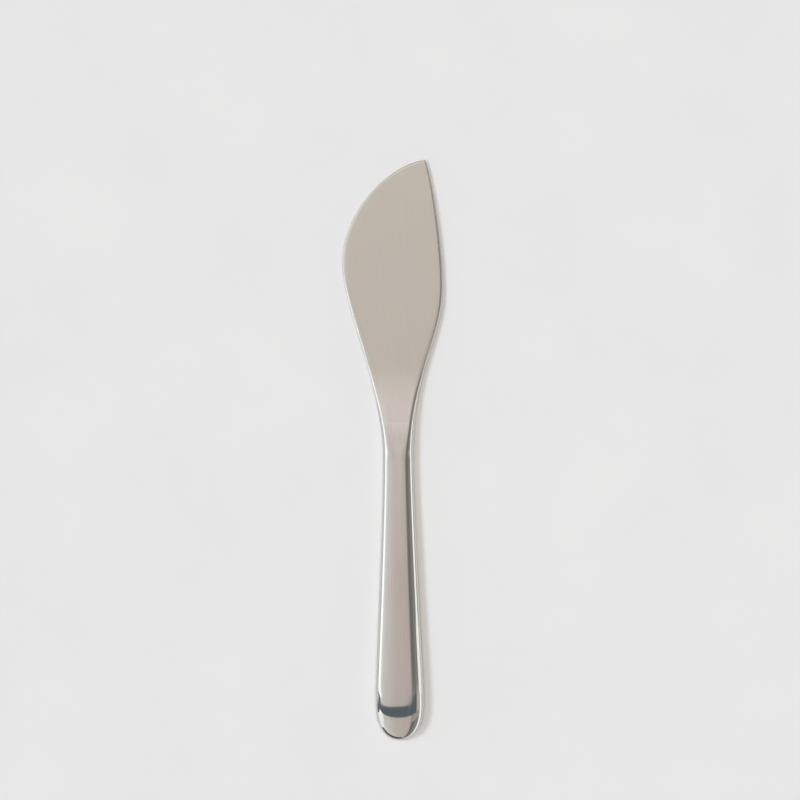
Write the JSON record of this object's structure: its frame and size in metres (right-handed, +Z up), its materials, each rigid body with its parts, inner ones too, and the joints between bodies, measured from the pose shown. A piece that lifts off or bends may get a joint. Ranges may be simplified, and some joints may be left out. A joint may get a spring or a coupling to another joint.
{
  "type": "butter knife",
  "caption": "Table butter knife with a broad flat spreading blade, a short ramp up to the neck and a rounded, slightly widening hollow handle.",
  "frame": {"origin": "on the table, under the middle of the knife's box", "axes": "+Y along the knife from the handle to the point of the blade, +X towards the back of the blade, +Z up, square to the table the knife lies on"},
  "size_m": [0.0292, 0.1694, 0.0068],
  "materials": {
    "satin_steel": "satin",
    "polished_steel": "polished",
    "cement_filling": "matte"
  },
  "bodies": {
    "root": {"blade": "satin_steel", "handle_upper_shell": "polished_steel", "handle_lower_shell": "polished_steel", "handle_filling": "cement_filling"}
  },
  "joints": []
}
